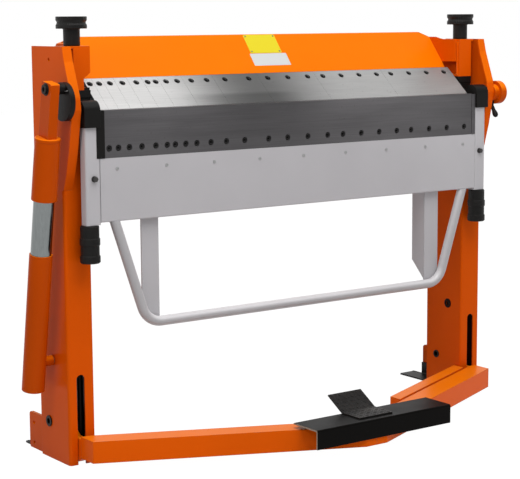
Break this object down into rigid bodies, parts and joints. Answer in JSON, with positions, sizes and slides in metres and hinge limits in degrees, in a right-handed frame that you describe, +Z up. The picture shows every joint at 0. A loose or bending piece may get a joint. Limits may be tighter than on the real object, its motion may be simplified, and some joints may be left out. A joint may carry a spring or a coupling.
{
  "type": "box and pan brake",
  "caption": "Floor-standing box and pan brake: segmented clamping beam lowered by a foot pedal, and an apron on end hinges that swings up to fold the sheet.",
  "frame": {"origin": "on the floor, at the middle of the machine's overall length and depth", "axes": "+X along the machine to the operator's right, +Y away from the operator, +Z up"},
  "size_m": [1.582, 0.663, 1.165],
  "materials": {
    "orange_paint": "gloss enamel, slightly textured",
    "grey_paint": "satin light grey enamel",
    "black_paint": "satin black",
    "bright_steel": "ground, lengthwise grain",
    "dark_steel": "ground and blued, dull",
    "black_plastic": "moulded, fine grain"
  },
  "bodies": {
    "stand": {"stand_left": "orange_paint", "stand_right": "orange_paint", "head_plate_left": "orange_paint", "head_plate_right": "orange_paint", "anchor_plate_left": "orange_paint", "anchor_plate_right": "orange_paint", "rear_foot_left": "black_paint", "rear_foot_right": "black_paint", "pedal_pivot_left": "bright_steel", "pedal_pivot_right": "bright_steel", "bed_beam": "orange_paint", "bed_bar": "bright_steel", "strut_pin": "bright_steel"},
    "clamp_beam": {"upper_beam": "orange_paint", "beam_bracket_left": "orange_paint", "beam_bracket_right": "orange_paint", "beam_block_left": "black_paint", "beam_block_right": "black_paint", "finger_01": "bright_steel", "finger_02": "bright_steel", "finger_03": "bright_steel", "finger_04": "bright_steel", "finger_05": "bright_steel", "finger_06": "bright_steel", "finger_07": "bright_steel", "finger_08": "bright_steel", "finger_09": "bright_steel", "finger_10": "bright_steel", "finger_11": "bright_steel", "finger_12": "bright_steel", "tie_rod_left": "bright_steel", "tie_rod_right": "bright_steel"},
    "knob_left": {"clamp_knob_left": "black_plastic"},
    "knob_right": {"clamp_knob_right": "black_plastic"},
    "apron": {"apron_panel": "grey_paint", "bending_bar": "dark_steel", "post_left": "grey_paint", "post_right": "grey_paint", "hinge_block_left": "black_paint", "hinge_block_right": "black_paint", "post_bolts": "black_paint", "handle": "grey_paint", "handle_stiffener_left": "grey_paint", "handle_stiffener_right": "grey_paint", "crank": "black_paint"},
    "apron_adjuster_left": {"adjuster_left": "black_plastic"},
    "apron_adjuster_right": {"adjuster_right": "black_plastic"},
    "strut_lower": {"strut_tube": "orange_paint"},
    "strut_upper": {"strut_rod": "bright_steel", "strut_sleeve": "orange_paint", "strut_bolt": "black_paint"},
    "stop": {"angle_stop": "orange_paint"},
    "stop_clamp": {"stop_lever": "black_paint"},
    "pedal": {"pedal_arm_left": "orange_paint", "pedal_arm_right": "orange_paint", "pedal_lever_left": "orange_paint", "pedal_lever_right": "orange_paint", "pedal_brace": "orange_paint", "pedal_cover": "black_paint", "pedal_tread": "black_paint"}
  },
  "joints": [
    {"name": "clamp_pedal", "type": "hinge", "parent": "stand", "child": "pedal", "pos_m": [0.022, 0.1585, 0.1], "axis": [-1, 0, 0], "range_deg": [0, 30]},
    {"name": "beam_lift", "type": "slide", "parent": "stand", "child": "clamp_beam", "axis": [0, 0, 1], "range_m": [0, 0.044]},
    {"name": "knob_left_turn", "type": "hinge", "parent": "clamp_beam", "child": "knob_left", "pos_m": [-0.65, 0.0875, 1.1], "axis": [0, 0, 1], "continuous": true},
    {"name": "knob_right_turn", "type": "hinge", "parent": "clamp_beam", "child": "knob_right", "pos_m": [0.694, 0.0875, 1.1], "axis": [0, 0, 1], "continuous": true},
    {"name": "apron_swing", "type": "hinge", "parent": "stand", "child": "apron", "pos_m": [0.022, 0.0125, 0.928], "axis": [-1, 0, 0], "range_deg": [0, 135]},
    {"name": "adjuster_left_turn", "type": "hinge", "parent": "apron", "child": "apron_adjuster_left", "pos_m": [-0.653, 0.0105, 0.59], "axis": [0, 0, 1], "continuous": true},
    {"name": "adjuster_right_turn", "type": "hinge", "parent": "apron", "child": "apron_adjuster_right", "pos_m": [0.697, 0.0105, 0.59], "axis": [0, 0, 1], "continuous": true},
    {"name": "strut_swing", "type": "hinge", "parent": "stand", "child": "strut_lower", "pos_m": [-0.758, 0.1315, 0.27], "axis": [-1, 0, 0], "range_deg": [0, 3.3]},
    {"name": "strut_slide", "type": "slide", "parent": "strut_lower", "child": "strut_upper", "axis": [0, 0.1733, -0.9849], "range_m": [0, 0.101]},
    {"name": "stop_turn", "type": "hinge", "parent": "stand", "child": "stop", "pos_m": [0.779, 0.0125, 0.928], "axis": [-1, 0, 0], "range_deg": [0, 135]},
    {"name": "stop_lever_turn", "type": "hinge", "parent": "stop", "child": "stop_clamp", "pos_m": [0.758, 0.0125, 0.89], "axis": [0, 0, 1], "range_deg": [0, 120]}
  ],
  "couplings": [
    {"joint": "beam_lift", "follows": "clamp_pedal", "m_per_rad": 0.083152},
    {"joint": "strut_swing", "follows": "apron_swing", "ratio": 0.024316},
    {"joint": "strut_slide", "follows": "apron_swing", "m_per_rad": 0.042777}
  ]
}
